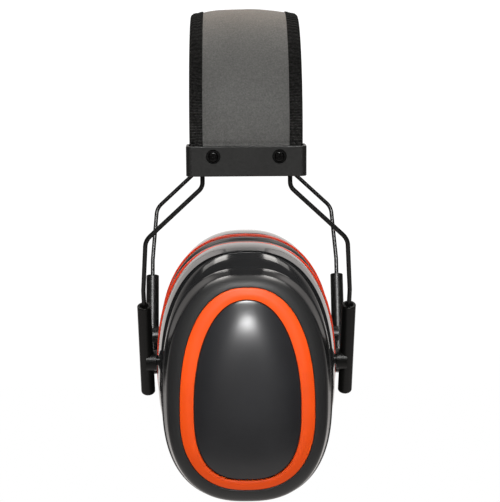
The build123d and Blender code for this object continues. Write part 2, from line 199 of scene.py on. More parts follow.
CUSHION_SEAM_PLACE = 1.6    # from the plate
CUSHION_CENTRE_DROP = 4.0   # the ear opening's middle is this far below the pivot
CREASE_DEPTH = 0.55
CREASE_SWELL = 0.3

# ---------------------------------------------------------------- light
# The surroundings' brightness depends on the direction, whose parts run from -1 to 1.
WORLD_FRONT = 0.22
WORLD_BACK = 1.12
WORLD_TOP_EDGES = (0.5, 0.57)   # the white behind ends between these heights
WORLD_TOP = 0.15                # how bright it is above them, as a share
WORLD_BELOW = 0.8               # how bright it is below, as a share
WORLD_BELOW_START = -0.5
WORLD_SIDE_EDGES = (0.3, 0.6)   # the white fades towards the sides between these
WORLD_SIDE = 0.36               # how bright it is at the sides, as a share
WORLD_FLOOR_EDGES = (-0.65, -0.45)
WORLD_FLOOR = 0.7               # brightness of the white surface far below
WORLD_FRONT_EDGE = 0.35         # the dim front ends here, on the way to the back
WORLD_BACK_EDGE = 0.6           # and the bright back starts here
FLOOR_HEIGHT = -1000.0
FLOOR_HALF = 2000.0
OVERHEAD_HEIGHT = 0.95
OVERHEAD_STRIPS = ((0.25, 0.55, 7.5), (0.55, 0.95, 2.5))    # (from, to, brightness) on either side
OVERHEAD_REACH = (0.0, 0.8)     # from over the head to this far back
PURE_WHITE = (1, 1, 1)
STRIP_WHITE = (1, 0.97, 0.93)
CROWN_WHITE = (1, 0.76, 0.56)
KEY_WHITE = (1, 1, 0.985)
# (name, place, target, size, power, colour, spread in degrees, the only pieces that receive it)
LAMPS = (
    ("key_light", (0.0, -0.6, 0.22), (0.0, -0.05, -0.115), (0.2, 0.2), 0.127, KEY_WHITE, 25.0, ()),
    ("dome_light", (0.01, -0.95, -0.09), (0.0, -0.05, -0.11), (0.1, 0.1), 0.024, PURE_WHITE, 15.0,
     ("right_dome", "left_dome", "right_ring", "left_ring")),
    ("crown_light", (0.0, 0.55, 0.55), (0.0, 0.0, 0.0), (0.4, 0.3), 1.5, CROWN_WHITE, 180.0,
     ("right_band_cover", "left_band_cover")),
    ("leg_light", (0.0, -0.75, 0.47), (0.0, 0.03, -0.13), (0.5, 0.3), 14.0, PURE_WHITE, 180.0,
     ("left_slider_front", "left_slider_rear", "left_wire_front", "left_wire_rear")),
)
SURROUNDING_TINT = (1, 0.95, 0.92)


def cup_sizes(node):
    """Of a node of the right cup: its outline, as (half width, height above the pivot, depth below
    the pivot), and its nearest and furthest distance from the middle plane."""
    low, high = node_box(f"right_{node}")
    return np.array([high[0], high[2] - PIVOT[2], PIVOT[2] - low[2]]), -high[1], -low[1]


# ================================================================ mesh helpers
def new_object(name, points, faces, smooth=True):
    """An object from points in millimetres."""
    mesh = bpy.data.meshes.new(name)
    mesh.from_pydata([tuple(p) for p in np.asarray(points) * MM], [], faces)
    mesh.update()
    if smooth:
        mesh.polygons.foreach_set("use_smooth", [True] * len(mesh.polygons))
    made = bpy.data.objects.new(name, mesh)
    bpy.context.scene.collection.objects.link(made)
    return made


def grid_faces(rows, columns, close_rows=False, close_columns=False):
    """Quads between the points of a grid stored row by row."""
    faces = []
    for row in range(rows if close_rows else rows - 1):
        below = (row + 1) % rows
        for column in range(columns if close_columns else columns - 1):
            beside = (column + 1) % columns
            faces.append((row * columns + column, row * columns + beside,
                          below * columns + beside, below * columns + column))
    return faces


def capped_faces(rows, columns, first=0):
    """Quads round a row of closed sections, with a face on each end."""
    faces = grid_faces(rows, columns, close_columns=True)
    last = (rows - 1) * columns
    faces.append(tuple(range(columns)))
    faces.append(tuple(last + i for i in reversed(range(columns))))
    return [tuple(first + i for i in face) for face in faces]


def recalculate_normals(made):
    """Turns every face outward."""
    edit = bmesh.new()
    edit.from_mesh(made.data)
    bmesh.ops.recalc_face_normals(edit, faces=edit.faces)
    edit.to_mesh(made.data)
    edit.free()


def sided_object(name, side, points, faces, uv=None):
    """An object from points given for the right side, mirrored for the left one."""
    points = np.array(points, float)
    points[:, 1] *= -side
    made = new_object(name, points, faces)
    if uv:
        add_uv(made, uv, faces)
    recalculate_normals(made)
    return made


def vertex_rows(mesh, kind):
    """The places ("co") or normals ("normal") of a mesh's vertices."""
    values = np.zeros(len(mesh.vertices) * 3)
    mesh.vertices.foreach_get(kind, values)
    return values.reshape(-1, 3)


def match_halves(made):
    """Makes the shading of two mirrored halves meet smoothly at the middle plane."""
    normals = vertex_rows(made.data, "normal")
    seam = np.abs(vertex_rows(made.data, "co")[:, 1]) < 1e-6
    normals[seam, 1] = 0
    normals /= np.maximum(np.linalg.norm(normals, axis=1), 1e-9)[:, None]
    made.data.normals_split_custom_set_from_vertices(normals)


def add_uv(made, grid_uv, faces):
    """Stores real lengths, in millimetres, as the mesh's UV map."""
    layer = made.data.uv_layers.new(name="lengths")
    flat = np.array([grid_uv[i] for face in faces for i in face], float)
    layer.data.foreach_set("uv", flat.ravel())


def rounded_path(levels, radii, steps=6):
    """A path through levels, each corner replaced by a short curve that starts radius away."""
    levels = [np.array(item, float) for item in levels]
    path = [levels[0]]
    for before, corner, after, radius in zip(levels, levels[1:], levels[2:], radii):
        back = before - corner
        ahead = after - corner
        reach_back = min(radius / max(path_size(back), 1e-6), 0.48)
        reach_ahead = min(radius / max(path_size(ahead), 1e-6), 0.48)
        start = corner + back * reach_back
        end = corner + ahead * reach_ahead
        for step in range(steps + 1):
            t = step / steps
            path.append(start * (1 - t) ** 2 + corner * 2 * t * (1 - t) + end * t ** 2)
    path.append(levels[-1])
    return path


def path_size(difference):
    """The length, in millimetres, of a step between two levels of a cup."""
    return math.hypot(max(abs(difference[:3])), difference[DISTANCE])


def densify(path, longest=1.2):
    """The same path with extra levels on its long steps."""
    dense = [path[0]]
    for before, after in zip(path, path[1:]):
        parts = max(1, math.ceil(path_size(after - before) / longest))
        for part in range(1, parts + 1):
            dense.append(before + (after - before) * part / parts)
    return dense


def egg_points(item):
    """The points of one level, as level() gives it."""
    half_width, above, below, widest, distance, top_squareness, bottom_squareness = item
    angle = np.linspace(0, 2 * math.pi, AROUND, endpoint=False)
    upper = np.sin(angle) >= 0
    power = np.where(upper, 2 / top_squareness, 2 / bottom_squareness)
    reach = np.where(upper, above + widest, below - widest)
    across = np.sign(np.cos(angle)) * np.abs(np.cos(angle)) ** power
    along = np.sign(np.sin(angle)) * np.abs(np.sin(angle)) ** power
    z = PIVOT[2] - widest + reach * along
    return np.column_stack([half_width * across, np.full(AROUND, -distance), z])


def level(outline, distance, shape, smaller=0.0):
    """One level of a cup, from an outline made smaller all round."""
    half_width, above, below = np.asarray(outline, float) - smaller
    widest, top_squareness, bottom_squareness = shape
    return np.array([half_width, above, below, widest, distance, top_squareness, bottom_squareness])


def cup_piece(name, side, path, close=False, pole_start=False, pole_end=False):
    """A piece of a cup lofted through levels; a pole closes an end in one middle point."""
    rows = [egg_points(item) for item in path]
    points = np.vstack(rows)
    faces = grid_faces(len(rows), AROUND, close_rows=close, close_columns=True)
    for wanted, row in ((pole_start, 0), (pole_end, len(rows) - 1)):
        if wanted:
            middle = len(points)
            points = np.vstack([points, rows[row].mean(axis=0)])
            first = row * AROUND
            for column in range(AROUND):
                faces.append((first + column, first + (column + 1) % AROUND, middle))
    return sided_object(f"{side_name(side)}_{name}", side, points, faces)


def side_name(side):
    return "right" if side == RIGHT else "left"


def stand_for(made, node, body):
    """made rides on a body in place of a CAD node."""
    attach(made, body)
    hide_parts(node)
    return made


# ================================================================ materials
class Nodes:
    """Adds nodes to a tree; each method returns the output of what it adds."""

    def __init__(self, tree):
        self.tree = tree

    def add(self, kind, **settings):
        made = self.tree.nodes.new(kind)
        for key, value in settings.items():
            setattr(made, key, value)
        return made

    def link(self, output, socket):
        self.tree.links.new(output, socket)

    def coordinates(self, kind="Object"):
        return self.add("ShaderNodeTexCoord").outputs[kind]

    def part(self, vector, axis):
        """One component of a vector."""
        made = self.add("ShaderNodeSeparateXYZ")
        self.link(vector, made.inputs[0])
        return made.outputs[axis]

    def maths(self, operation, *values):
        made = self.add("ShaderNodeMath", operation=operation)
        for value, socket in zip(values, made.inputs):
            self.link(value, socket)
        return made.outputs[0]

    def map_range(self, value, low, high, to_low, to_high):
        made = self.add("ShaderNodeMapRange")
        for key, number in (("From Min", low), ("From Max", high), ("To Min", to_low), ("To Max", to_high)):
            made.inputs[key].default_value = number
        self.link(value, made.inputs["Value"])
        return made.outputs["Result"]

    def ramp(self, value, low, high, color_low, color_high):
        """A two-colour ramp between two values."""
        made = self.add("ShaderNodeValToRGB")
        for element, place, color in zip(made.color_ramp.elements, (low, high), (color_low, color_high)):
            element.position = place
            element.color = (*color, 1)
        self.link(value, made.inputs["Fac"])
        return made.outputs["Color"]

    def multiply_colors(self, first, second):
        made = self.add("ShaderNodeMix", data_type="RGBA", blend_type="MULTIPLY")
        made.inputs["Factor"].default_value = 1.0
        self.link(first, made.inputs[MIX_FIRST])
        self.link(second, made.inputs[MIX_SECOND])
        return made.outputs[MIX_RESULT]

    def textured(self, kind, vector, numbers, output, **settings):
        """A texture node with its numbers set."""
        made = self.add(kind, **settings)
        for key, number in numbers.items():
            made.inputs[key].default_value = number
        self.link(vector, made.inputs["Vector"])
        return made.outputs[output]

    def ribs(self, vector, scale, direction, distortion=0.0):
        numbers = {"Scale": scale, "Distortion": distortion}
        return self.textured("ShaderNodeTexWave", vector, numbers, "Fac", wave_type="BANDS",
                             bands_direction=direction, wave_profile="SIN")


class Finish(Nodes):
    """A new material, whose nodes end in its shader."""

    def __init__(self, name, color, roughness, **inputs):
        self.material = bpy.data.materials.new(name)
        self.material.use_nodes = True
        super().__init__(self.material.node_tree)
        self.shader = self.tree.nodes["Principled BSDF"]
        self.shader.inputs["Base Color"].default_value = (*color, 1)
        self.shader.inputs["Roughness"].default_value = roughness
        for key, value in inputs.items():
            self.shader.inputs[key.replace("_", " ")].default_value = value
        self.place = self.coordinates()
        self.relief = None

    def noise(self, scale, detail=3.0, roughness=0.5):
        numbers = {"Scale": scale, "Detail": detail, "Roughness": roughness}
        return self.textured("ShaderNodeTexNoise", self.place, numbers, "Fac")

    def cells(self, scale, feature="F1"):
        return self.textured("ShaderNodeTexVoronoi", self.place, {"Scale": scale}, "Distance",
                             feature=feature)

    def set(self, socket, output):
        self.link(output, self.shader.inputs[socket])

    def bump(self, height, distance, strength):
        """Adds relief, over what was added before."""
        made = self.add("ShaderNodeBump")
        made.inputs["Strength"].default_value = strength
        made.inputs["Distance"].default_value = distance
        self.link(height, made.inputs["Height"])
        if self.relief is not None:
            self.link(self.relief, made.inputs["Normal"])
        self.relief = made.outputs["Normal"]
        self.set("Normal", self.relief)


def shaded(color, share):
    return tuple(min(1.0, channel * share) for channel in color)


def grey(value):
    return (value, value, value)


def glossy_shell(name, color, roughness, face_roughness):
    """Moulded plastic, glossy on the walls and duller on the face, with faint flow marks and dust."""
    made = Finish(name, color, roughness, IOR=1.55)
    distance = made.maths("ABSOLUTE", made.part(made.place, "Y"))
    base = made.map_range(distance, FACE_STARTS * MM, (FACE_STARTS + FACE_FADE) * MM,
                          roughness, face_roughness)
    dust = made.map_range(made.noise(900.0, 2.0), 0.3, 0.7, 0.96, 1.04)
    made.set("Roughness", made.maths("MULTIPLY", base, dust))
    cloud = made.noise(35.0, 4.0)
    made.set("Base Color", made.ramp(cloud, 0.35, 0.65, shaded(color, 0.88), shaded(color, 1.12)))
    made.bump(made.noise(260.0, 2.0), 0.00001, 0.05)
    return made.material


def satin_plastic(name, color, roughness, grain, depth, ior, painted_shade_reach=None):
    """Moulded plastic with a fine spark-eroded grain, with painted shade: its colour and reflections are
    darkened in crevices up to a distance in mm.
    """
    made = Finish(name, color, roughness, IOR=ior)
    fine = made.noise(grain, 3.0, 0.6)
    cloud = made.noise(60.0, 3.0)
    tone = made.ramp(cloud, 0.3, 0.7, shaded(color, 0.8), shaded(color, 1.25))
    made.set("Roughness", made.map_range(fine, 0.3, 0.7, roughness * 0.8, roughness * 1.2))
    made.bump(fine, depth, 0.5)
    if painted_shade_reach:
        # painted shade: ambient occlusion darkens the colour and dims the reflections in recesses such as
        # the screw wells
        occlusion = made.add("ShaderNodeAmbientOcclusion", samples=8)
        occlusion.inputs["Distance"].default_value = painted_shade_reach * MM
        openness = occlusion.outputs["AO"]
        tone = made.multiply_colors(tone, made.map_range(openness, 0.35, 0.95, 0.0, 1.0))
        made.set("Specular IOR Level", made.map_range(openness, 0.35, 0.95, 0.02, 0.5))
    made.set("Base Color", tone)
    return made.material


def orange_plastic(name, color, roughness):
    """Coloured plastic with slight subsurface glow and a fine moulded texture."""
    made = Finish(name, color, roughness, IOR=1.48, Specular_IOR_Level=0.3, Subsurface_Weight=0.06,
                  Subsurface_Radius=(0.0015, 0.0005, 0.0002))
    cloud = made.noise(45.0, 3.0)
    fine = made.noise(1100.0, 2.0)
    made.set("Base Color", made.ramp(cloud, 0.3, 0.7, shaded(color, 0.93), shaded(color, 1.06)))
    made.set("Roughness", made.map_range(fine, 0.3, 0.7, roughness * 0.85, roughness * 1.15))
    made.bump(fine, 0.00003, 0.35)
    return made.material


def reflective_fabric():
    """Grey fabric covered in tiny glass beads: a fine sparkle over a soft weave."""
    made = Finish("reflective_fabric", (0.125, 0.124, 0.115), 0.55, IOR=1.5, Specular_IOR_Level=0.3)
    lengths = made.coordinates("UV")
    beads = made.cells(2600.0)
    cloud = made.noise(55.0, 4.0, 0.55)
    grain = made.noise(1300.0, 4.0, 0.75)
    tone = made.ramp(cloud, 0.25, 0.75, (0.108, 0.1075, 0.105), (0.122, 0.1215, 0.119))
    speckle = made.ramp(grain, 0.38, 0.66, grey(0.8), (1.3, 1.29, 1.27))
    made.set("Base Color", made.multiply_colors(tone, speckle))
    made.set("Roughness", made.map_range(beads, 0.0, 0.6, 0.38, 0.7))
    threads = made.maths("MAXIMUM", *(made.ribs(lengths, 0.9, direction) for direction in "XY"))
    made.bump(threads, 0.00003, 0.35)
    made.bump(beads, 0.00006, 0.6)
    return made.material


def binding_tape():
    """Black grosgrain tape: fine ribs across it and fuzz, with painted light that makes it paler towards
    its ends, where the band hangs down.
    """
    made = Finish("binding_tape", (0.008, 0.008, 0.0075), 0.85, Specular_IOR_Level=0.12)
    lengths = made.coordinates("UV")
    ribs = made.ribs(lengths, 0.47, "X", 0.3)
    cross = made.ribs(lengths, 1.1, "Y", 0.6)
    fuzz = made.noise(900.0, 4.0, 0.7)
    ribbed = made.ramp(ribs, 0.2, 0.9, grey(0.001), (0.024, 0.0235, 0.023))
    # painted light: the tape's colour grows paler along the hanging part of the band, where more light
    # falls on it
    painted_light_share = made.map_range(made.part(lengths, "X"), TAPE_PAINTED_LIGHT_FROM, BAND_LENGTH, 1.0, TAPE_PAINTED_LIGHT_SHARE)
    uneven = made.map_range(fuzz, 0.4, 0.62, 0.45, 1.5)
    made.set("Base Color", made.multiply_colors(ribbed, made.maths("MULTIPLY", painted_light_share, uneven)))
    made.bump(ribs, 0.00018, 0.8)
    made.bump(cross, 0.00006, 0.6)
    made.bump(fuzz, 0.00008, 0.6)
    return made.material


def lining_fabric():
    """Plain black knitted lining."""
    made = Finish("lining_fabric", grey(0.014), 0.85, Sheen_Weight=0.3)
    lengths = made.coordinates("UV")
    knit = made.maths("MULTIPLY", *(made.ribs(lengths, 0.4, direction, 0.8) for direction in "XY"))
    made.set("Base Color", made.ramp(knit, 0.0, 1.0, grey(0.006), grey(0.026)))
    made.bump(knit, 0.0002, 0.8)
    return made.material


def stitch_thread():
    """Black twisted thread."""
    made = Finish("stitch_thread", grey(0.006), 0.7, Specular_IOR_Level=0.15)
    made.bump(made.noise(2500.0, 2.0), 0.00005, 0.6)
    return made.material


def cushion_vinyl():
    """Soft black vinyl with a fine leather grain."""
    made = Finish("cushion_vinyl", grey(0.008), 0.42)
    cloud = made.noise(70.0, 3.0)
    made.set("Roughness", made.map_range(cloud, 0.3, 0.7, 0.36, 0.5))
    made.set("Base Color", made.ramp(cloud, 0.3, 0.7, grey(0.006), grey(0.01)))
    made.bump(made.cells(1100.0, "DISTANCE_TO_EDGE"), 0.00008, 0.5)
    return made.material


def foam_material():
    """Open-cell foam: small dark pores."""
    made = Finish("foam", (0.05, 0.05, 0.052), 0.95)
    pores = made.cells(900.0)
    made.set("Base Color", made.ramp(pores, 0.1, 0.6, grey(0.01), (0.09, 0.09, 0.092)))
    made.bump(pores, 0.0004, 0.9)
    return made.material


def coated_wire():
    """Black powder-coated spring wire."""
    made = Finish("coated_wire", grey(0.004), 0.4, IOR=1.4)
    fine = made.noise(1200.0, 3.0)
    made.set("Roughness", made.map_range(fine, 0.3, 0.7, 0.26, 0.45))
    made.set("Base Color", made.ramp(fine, 0.2, 0.8, grey(0.003), grey(0.006)))
    made.bump(fine, 0.00003, 0.4)
    return made.material


def screw_metal():
    """Polished black oxide steel, with faint wear."""
    made = Finish("screw_metal", grey(0.004), 0.2, Metallic=1.0)
    fine = made.noise(1500.0, 3.0)
    made.set("Base Color", made.ramp(fine, 0.3, 0.8, grey(0.012), grey(0.045)))
    made.set("Roughness", made.map_range(fine, 0.3, 0.7, 0.14, 0.28))
    return made.material


MATERIALS = {
    "reflective_fabric": reflective_fabric(),
    "binding_tape": binding_tape(),
    "lining_fabric": lining_fabric(),
    "stitch_thread": stitch_thread(),
    "cushion_vinyl": cushion_vinyl(),
    "foam": foam_material(),
    "coated_wire": coated_wire(),
    "screw_metal": screw_metal(),
    "cup_gloss": glossy_shell("cup_gloss", (0.0195, 0.0198, 0.0208), 0.13, 0.5),
    "dome_gloss": glossy_shell("dome_gloss", (0.0195, 0.0202, 0.0225), 0.25, 0.25),
    # the bracket's plastic gets painted shade in its screw wells and crevices
    "bracket_satin": satin_plastic("bracket_satin", (0.0105, 0.0105, 0.0102), 0.42, grain=1400.0,
                                   depth=0.00004, ior=1.5, painted_shade_reach=1.6),
    "slider_satin": satin_plastic("slider_satin", (0.0042, 0.0042, 0.004), 0.34, grain=1800.0,
                                  depth=0.00002, ior=1.3),
    "ring_orange": orange_plastic("ring_orange", (0.95, 0.087, 0.004), 0.42),
    "plate_orange": orange_plastic("plate_orange", (0.85, 0.05, 0.012), 0.3),
}


def finish_with(made, material):
    made.data.materials.clear()
    made.data.materials.append(MATERIALS[material])
    return made


# ================================================================ headband
def band_line(lengths):
    """Centre points (y, z) and outward normals of the right half of the band, from the crown down."""
    lengths = np.asarray(lengths, float)
    angle = np.minimum(lengths, QUARTER) / ARCH_RADIUS
    below = np.maximum(lengths - QUARTER, 0)
    y = -ARCH_RADIUS * np.sin(angle)
    z = ARCH_CENTRE + ARCH_RADIUS * np.cos(angle) - below
    return y, z, -np.sin(angle), np.cos(angle)


def smooth_noise(points, scale, seed):
    """Repeatable smooth noise at each point."""
    return np.array([noise.noise(Vector((p[0] * scale + seed, p[1] * scale, p[2] * scale)))
                     for p in points])


def band_sweep(name, side, section, half_lengths, wave_height=None):
    """A closed section, as (x, offset) points, swept down one half of the band."""
    y, z, normal_y, normal_z = band_line(half_lengths)
    rows = []
    uv = []
    around = np.concatenate([[0], np.cumsum(np.hypot(*np.diff(section, axis=0).T))])
    for row, length in enumerate(half_lengths):
        offset = section[:, 1].copy()
        if wave_height is not None:
            offset = offset + wave_height(section, length)
        rows.append(np.column_stack([
            section[:, 0],
            y[row] + normal_y[row] * offset,
            z[row] + normal_z[row] * offset,
        ]))
        uv.extend([(length, a) for a in around])
    return sided_object(name, side, np.vstack(rows), capped_faces(len(rows), len(section)), uv)


def bend_with_band(made):
    """Makes the two halves' shading meet at the crown and bakes the piece's place into its mesh."""
    match_halves(made)
    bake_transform(made)
    return made


def outer_height(x):
    """The cover's outer face above the wire line, at a distance across the band."""
    share = np.abs(x) / BINDING_NEAR
    return PAD_OUTSIDE - COVER_SINK - (CROWN_FALL - COVER_SINK) * share ** CROWN_POWER


def inner_height(x):
    """The lining's inner face below the wire line."""
    share = np.abs(x) / BINDING_NEAR
    return -PAD_INSIDE + LINING_SINK + CROWN_FALL * share ** CROWN_POWER


def layer_section(upper, lower, under_tape, points):
    """A closed section of the band between two heights, given as functions of the place across."""
    x = np.linspace(-BINDING_NEAR - under_tape, BINDING_NEAR + under_tape, points)
    return np.vstack([
        np.column_stack([x, upper(x)]),
        np.column_stack([x[::-1], lower(x[::-1])]),
    ])


def cover_waves(side):
    """Small puckers of the cover along the tapes and above the bracket."""
    def height(section, length):
        x = section[:, 0]
        points = np.column_stack([x, np.full(len(x), length * side), np.full(len(x), 10.0)])
        under_tape = 1 - np.clip(np.abs(x) / BINDING_NEAR, 0, 1) ** 8
        near_tape = np.clip((np.abs(x) - 8) / 11, 0, 1)
        near_bracket = np.clip(1 - abs(length - BAND_LENGTH + 11) / 14, 0, 1)
        broad = smooth_noise(points, 0.06, 3.0) * BROAD_WAVE
        small = smooth_noise(points * [1, 1.6, 1], 0.28, 7.0) * TAPE_PUCKER * near_tape
        folds = smooth_noise(points * [1, 0.25, 1], 0.35, 11.0) * BRACKET_FOLD * near_bracket
        tight = np.clip(1 - np.abs(length - BAND_LENGTH + 12.2) / 0.9, 0, 1) * BRACKET_PINCH
        return (broad + small + folds) * under_tape - tight
    return height


def tape_face(start, end, groove_side):
    """Points across one face of the tape, from its edge on the cloth to its fold."""
    flat = BAND_HALF - BINDING_NEAR - TAPE_FOLD_RADIUS
    points = []
    for share in np.linspace(0, 1, 15):
        groove = STITCH_GROOVE * math.exp(-((share - 0.5) / STITCH_GROOVE_WIDTH) ** 2)
        height = start + (end - start) * share ** 1.6 + groove_side * groove
        points.append((BINDING_NEAR + flat * share, height))
    return points


def tape_section():
    """The folded tape: over the outer face, round the edge and back over the inner face."""
    near = np.array([BINDING_NEAR])
    edge_top = TAPE_EDGE_HEIGHT - TAPE_EDGE_DROP
    edge_bottom = -TAPE_EDGE_HEIGHT - TAPE_EDGE_DROP
    upper = tape_face(outer_height(near)[0] + TAPE_OVERLAP, edge_top + TAPE_FOLD_STEP, -1)
    lower = tape_face(inner_height(near)[0] - TAPE_OVERLAP, edge_bottom - TAPE_FOLD_STEP, 1)
    turns = np.radians(np.linspace(80, -80, 13))
    fold = np.column_stack([
        BAND_HALF - TAPE_FOLD_RADIUS + TAPE_FOLD_RADIUS * np.cos(turns),
        -TAPE_EDGE_DROP + TAPE_EDGE_HEIGHT * np.sin(turns),
    ])
    outside = np.vstack([upper, fold, lower[::-1]])
    middle = np.array([(BINDING_NEAR + BAND_HALF) / 2 - 1.5, -TAPE_EDGE_DROP])
    tangent = np.gradient(outside, axis=0)
    normal = np.column_stack([-tangent[:, 1], tangent[:, 0]])
    normal /= np.linalg.norm(normal, axis=1)[:, None]
    turned = np.sign(((outside - middle) * normal).sum(axis=1))
    inside = outside - normal * turned[:, None] * TAPE_THICKNESS
    return np.vstack([outside, inside[::-1]])


def tape_waves(side, edge):
    """The tape's slight unevenness and its fine ribs."""
    def height(section, length):
        points = np.column_stack([section[:, 0], np.full(len(section), length * side),
                                  np.full(len(section), 20.0 * edge)])
        ribs = TAPE_RIB * math.cos(2 * math.pi * length / TAPE_RIB_PITCH)
        return smooth_noise(points, 0.22, 17.0) * TAPE_UNEVENNESS + ribs
    return height


def stitches(name, side, edge, section_point):
    """A row of stitches down one half of a tape, as short rounded threads."""
    points = []
    faces = []
    ring = 6
    steps = 6
    lengths = np.arange(STITCH_PITCH / 2, BAND_LENGTH - HELD_LENGTH, STITCH_PITCH)
    x0, offset0 = section_point
    for length in lengths:
        first = len(points)
        for step in range(steps + 1):
            t = step / steps
            along = length + (t - 0.5) * STITCH_PITCH * STITCH_LENGTH
            lift = STITCH_RISE * math.sin(math.pi * t) - STITCH_SINK
            radius = STITCH_RADIUS * math.sqrt(max(0.02, 1 - (2 * t - 1) ** 4))
            y, z, normal_y, normal_z = (v[0] for v in band_line([along]))
            for corner in range(ring):
                angle = 2 * math.pi * corner / ring
                across = x0 + edge * radius * math.cos(angle)
                out = offset0 + lift + radius * math.sin(angle)
                points.append((across, y + normal_y * out, z + normal_z * out))
        faces += capped_faces(steps + 1, ring, first)
    return sided_object(name, side, points, faces)


def headband():
    """Cover, lining, foam, tapes and stitching, each as a right and a left half."""
    coarse = np.linspace(0, BAND_LENGTH, BAND_STEPS)
    fine = np.arange(0, BAND_LENGTH, TAPE_RIB_PITCH / 4)
    cover_section = layer_section(outer_height, lambda x: outer_height(x) - CLOTH_THICKNESS,
                                  CLOTH_UNDER_TAPE, 56)
    lining_section = layer_section(lambda x: inner_height(x) + CLOTH_THICKNESS, inner_height,
                                   CLOTH_UNDER_TAPE, 56)
    foam_section = layer_section(lambda x: outer_height(x) - FOAM_INSET,
                                 lambda x: inner_height(x) + FOAM_INSET, FOAM_UNDER_TAPE, 24)
    tape = tape_section()
    groove = tape[7]
    for name, side in SIDES:
        cover = band_sweep(f"{name}_band_cover", side, cover_section, coarse, cover_waves(side))
        finish_with(cover, "reflective_fabric")
        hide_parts("headband_cover")
        bend_with_band(cover)

        lining = band_sweep(f"{name}_band_lining", side, lining_section, coarse, cover_waves(side))
        finish_with(lining, "lining_fabric")
        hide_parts("headband_lining")
        bend_with_band(lining)

        foam = band_sweep(f"{name}_band_foam", side, foam_section, coarse)
        finish_with(foam, "foam")
        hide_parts("headband_foam")
        bend_with_band(foam)

        for edge_name, edge in (("front", 1), ("rear", -1)):
            binding = band_sweep(f"{name}_{edge_name}_binding", side, tape * [edge, 1], fine,
                                 tape_waves(side, edge))
            finish_with(binding, "binding_tape")
            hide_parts(f"edge_binding_{edge_name}")
            bend_with_band(binding)
            thread = stitches(f"{name}_{edge_name}_stitches", side, edge, (edge * groove[0], groove[1]))
            finish_with(thread, "stitch_thread")
            bend_with_band(thread)


# ================================================================ spring wires
def wire_line(edge):
    """The centre line of a right-hand wire, from the crown to its end in the sleeve."""
    x_top = edge * WIRE_SPREAD
    x_leg = edge * (WIRE_HIGH[0] - WIRE_RADIUS)
    y, z, _, _ = band_line(np.linspace(0, QUARTER, 70))
    arch = np.column_stack([np.full(len(y), x_top), y, z])
    corners = [
        np.array([x_top, -ARCH_RADIUS, ARCH_CENTRE]),
        np.array([x_top, -ARCH_RADIUS, UPPER_BEND_HEIGHT]),
        np.array([edge * ELBOW[0], -ELBOW[1], ELBOW[2]]),
        leg_point(x_leg, LAST_BEND_HEIGHT),
        leg_point(x_leg, WIRE_LOW[2] + WIRE_END_GAP),
    ]
    line = [arch]
    for before, corner, after, radius in zip(corners, corners[1:], corners[2:], WIRE_BEND_RADII):
        line.append(bend_points(before, corner, after, radius))
    line.append(np.array([corners[-1]]))
    return resample(np.vstack(line), WIRE_STEP)


def leg_point(x, height):
    """A point of the leaning lower leg."""
    return np.array([x, -ELBOW[1] + (ELBOW[2] - height) * math.tan(math.radians(LEG_LEAN)), height])


def bend_points(before, corner, after, radius, steps=12):
    """Points of a round bend at a corner."""
    back = (before - corner) / np.linalg.norm(before - corner)
    ahead = (after - corner) / np.linalg.norm(after - corner)
    half = math.acos(np.clip(back @ ahead, -1, 1)) / 2
    cut = radius / math.tan(half)
    centre = corner + (back + ahead) / np.linalg.norm(back + ahead) * radius / math.sin(half)
    start = corner + back * cut - centre
    end = corner + ahead * cut - centre
    turn = math.acos(np.clip(start @ end / radius ** 2, -1, 1))
    shares = np.linspace(0, 1, steps)
    return np.array([centre + (math.sin((1 - t) * turn) * start + math.sin(t * turn) * end) / math.sin(turn)
                     for t in shares])


def resample(points, spacing):
    """The same line with evenly spaced points."""
    steps = np.linalg.norm(np.diff(points, axis=0), axis=1)
    keep = np.concatenate([[True], steps > 1e-6])
    points = points[keep]
    length = np.concatenate([[0], np.cumsum(np.linalg.norm(np.diff(points, axis=0), axis=1))])
    even = np.linspace(0, length[-1], int(length[-1] / spacing) + 1)
    return np.column_stack([np.interp(even, length, points[:, k]) for k in range(3)])


def tube(name, line, radius, side, ring=20):
    """A round tube along a line, closed at both ends."""
    tangent = np.gradient(line, axis=0)
    tangent /= np.linalg.norm(tangent, axis=1)[:, None]
    normal = np.cross(tangent[0], [1, 0, 0])
    rows = []
    for place, direction in zip(line, tangent):
        normal = normal - direction * (normal @ direction)
        normal /= np.linalg.norm(normal)
        other = np.cross(direction, normal)
        angle = np.linspace(0, 2 * math.pi, ring, endpoint=False)[:, None]
        rows.append(place + radius * (np.cos(angle) * normal + np.sin(angle) * other))
    return sided_object(name, side, np.vstack(rows), capped_faces(len(rows), ring))


def spring_wires():
    """The two wires, each as a right and a left half that meet at the crown."""
    for name, side in SIDES:
        for edge_name, edge in (("front", 1), ("rear", -1)):
            wire = tube(f"{name}_wire_{edge_name}", wire_line(edge), WIRE_RADIUS, side)
            finish_with(wire, "coated_wire")
            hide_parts(f"{name}_spring_wire_{edge_name}")
            bend_with_band(wire)


# ================================================================ ear cups
def inset(outline, distance, step, shape, thickness=0.0):
    """A level stepped in from an outline: (narrower, lower on top, higher below, further out)."""
    return level(outline - np.array(step[:3]), distance + step[3], shape, thickness)


def brow_levels(first, last, steps=22):
    """The brow's round nose, as levels along an arc between two slopes."""
    start = math.radians(BROW_START)
    end = math.radians(BROW_END)
    levels = []
    for share in np.linspace(0, 1, steps)[1:]:
        turn = start + (end - start) * share
        inward = (math.cos(start) - math.cos(turn)) / (math.cos(start) - math.cos(end))
        forward = (math.sin(turn) - math.sin(start)) / (math.sin(end) - math.sin(start))
        row = first + (last - first) * inward
        row[DISTANCE] = first[DISTANCE] + (last[DISTANCE] - first[DISTANCE]) * forward
        levels.append(row)
    return levels


